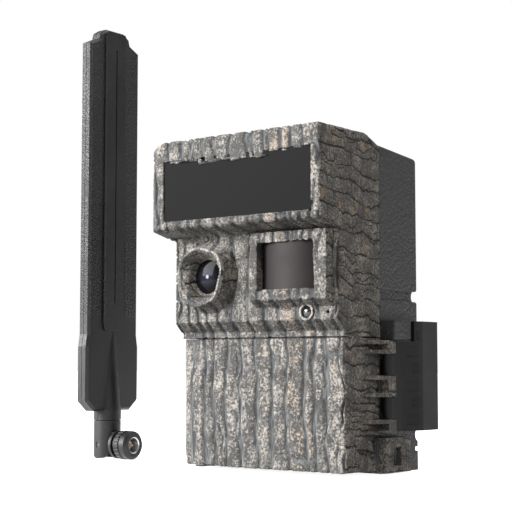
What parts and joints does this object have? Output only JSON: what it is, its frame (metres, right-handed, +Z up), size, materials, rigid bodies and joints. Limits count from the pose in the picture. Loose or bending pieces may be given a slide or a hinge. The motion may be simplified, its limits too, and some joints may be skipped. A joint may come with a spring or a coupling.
{
  "type": "trail camera",
  "caption": "Bark-relief game camera with hooded infrared window, lens, heat-sensor window, latched battery door and a detached folding paddle antenna.",
  "frame": {"origin": "on the base plane and the centre plane, under the middle of the rear casing's floor", "axes": "front faces -Y, latch side is +X, +Z is up"},
  "size_m": [0.1768, 0.086, 0.2177],
  "materials": {
    "bark_plastic": "matt, moulded bark relief",
    "black_plastic": "fine leather grain",
    "antenna_plastic": "fine matt grain",
    "smoked_window": "polished, dark infrared-pass",
    "lens_glass": "polished",
    "heat_window": "satin, milky dark",
    "sensor_dome": "polished",
    "steel": "bright",
    "dark_steel": "blackened",
    "brass": "plated",
    "seal_rubber": "matt",
    "board": "solder mask",
    "lamp": "clear lens",
    "insulator": "white",
    "shield": "tin plate",
    "button": "matt",
    "card": "smooth",
    "cell": "printed sleeve, plain",
    "cable": "smooth"
  },
  "bodies": {
    "casing": {"antenna_cable": "cable", "antenna_jack": "brass", "board_screws": "steel", "bracket_screws": "dark_steel", "card_slot": "shield", "case_screws": "dark_steel", "control_board": "board", "control_panel": "black_plastic", "dc_jack": "black_plastic", "door_hinge_pin": "steel", "front_housing": "bark_plastic", "housing_seal": "seal_rubber", "image_sensor": "sensor_dome", "ir_led_board": "board", "ir_leds": "lamp", "ir_window": "smoked_window", "jack_nut": "brass", "jack_seal": "seal_rubber", "lens_barrel": "dark_steel", "lens_holder": "black_plastic", "lens_window": "lens_glass", "light_sensor": "sensor_dome", "main_board": "board", "microphone": "shield", "modem_module": "shield", "pir_lens": "heat_window", "pir_sensor": "shield", "rear_housing": "black_plastic", "sensor_board": "board", "sim_slot": "shield", "tree_bracket": "black_plastic", "tripod_insert": "brass", "usb_port": "shield"},
    "door": {"lower_door": "bark_plastic", "door_seal": "seal_rubber", "latch_pin": "dark_steel"},
    "latch": {"latch_lever": "black_plastic"},
    "tray": {"battery_tray": "black_plastic", "battery_cells": "cell", "battery_contacts": "steel"},
    "up_key": {"button_up": "button"},
    "down_key": {"button_down": "button"},
    "ok_key": {"button_ok": "button"},
    "switch": {"power_switch": "button"},
    "card": {"memory_card": "card"},
    "sim": {"sim_card": "insulator"},
    "filter": {"ir_cut_slider": "black_plastic"},
    "power_plug": {"dc_plug": "seal_rubber"},
    "plug": {"plug_barrel": "dark_steel", "plug_insulator": "insulator", "plug_contact": "brass"},
    "nut": {"coupling_nut": "antenna_plastic", "nut_insert": "steel"},
    "arm": {"connector_arm": "antenna_plastic"},
    "paddle": {"stem_fork": "antenna_plastic", "fold_pin": "dark_steel", "radiator_board": "board", "paddle_front": "antenna_plastic", "paddle_back": "antenna_plastic"}
  },
  "joints": [
    {"name": "door_swing", "type": "hinge", "parent": "casing", "child": "door", "pos_m": [-0.0405, -0.038, 0.03], "axis": [0, 0, -1], "range_deg": [0, 90]},
    {"name": "latch_swing", "type": "hinge", "parent": "door", "child": "latch", "pos_m": [0.049, -0.0157, 0.03], "axis": [0, 0, -1], "range_deg": [0, 95]},
    {"name": "tray_slide", "type": "slide", "parent": "casing", "child": "tray", "axis": [0, -1, 0], "range_m": [0, 0.012]},
    {"name": "up_press", "type": "slide", "parent": "casing", "child": "up_key", "axis": [0, 1, 0], "range_m": [0, 0.0008], "stiffness_N_per_m": 1200},
    {"name": "down_press", "type": "slide", "parent": "casing", "child": "down_key", "axis": [0, 1, 0], "range_m": [0, 0.0008], "stiffness_N_per_m": 1200},
    {"name": "ok_press", "type": "slide", "parent": "casing", "child": "ok_key", "axis": [0, 1, 0], "range_m": [0, 0.0008], "stiffness_N_per_m": 1200},
    {"name": "switch_slide", "type": "slide", "parent": "casing", "child": "switch", "axis": [0, 0, 1], "range_m": [0, 0.008]},
    {"name": "card_slide", "type": "slide", "parent": "casing", "child": "card", "axis": [0, -1, 0], "range_m": [0, 0.006]},
    {"name": "sim_slide", "type": "slide", "parent": "casing", "child": "sim", "axis": [0, -1, 0], "range_m": [0, 0.005]},
    {"name": "filter_slide", "type": "slide", "parent": "casing", "child": "filter", "axis": [-1, 0, 0], "range_m": [0, 0.0062]},
    {"name": "power_plug_pull", "type": "slide", "parent": "casing", "child": "power_plug", "axis": [-1, 0, 0], "range_m": [0, 0.008]},
    {"name": "antenna_seat", "type": "slide", "parent": "casing", "child": "plug", "axis": [1, 0, 0], "range_m": [0, 0.0463]},
    {"name": "nut_spin", "type": "hinge", "parent": "plug", "child": "nut", "pos_m": [-0.1139, -0.0215, 0.0072], "axis": [1, 0, 0], "continuous": true},
    {"name": "antenna_swivel", "type": "hinge", "parent": "plug", "child": "arm", "pos_m": [-0.1139, -0.0215, 0.0072], "axis": [1, 0, 0], "range_deg": [-170, 170]},
    {"name": "antenna_fold", "type": "hinge", "parent": "arm", "child": "paddle", "pos_m": [-0.1139, -0.0215, 0.0072], "axis": [0, -1, 0], "range_deg": [0, 90]}
  ]
}
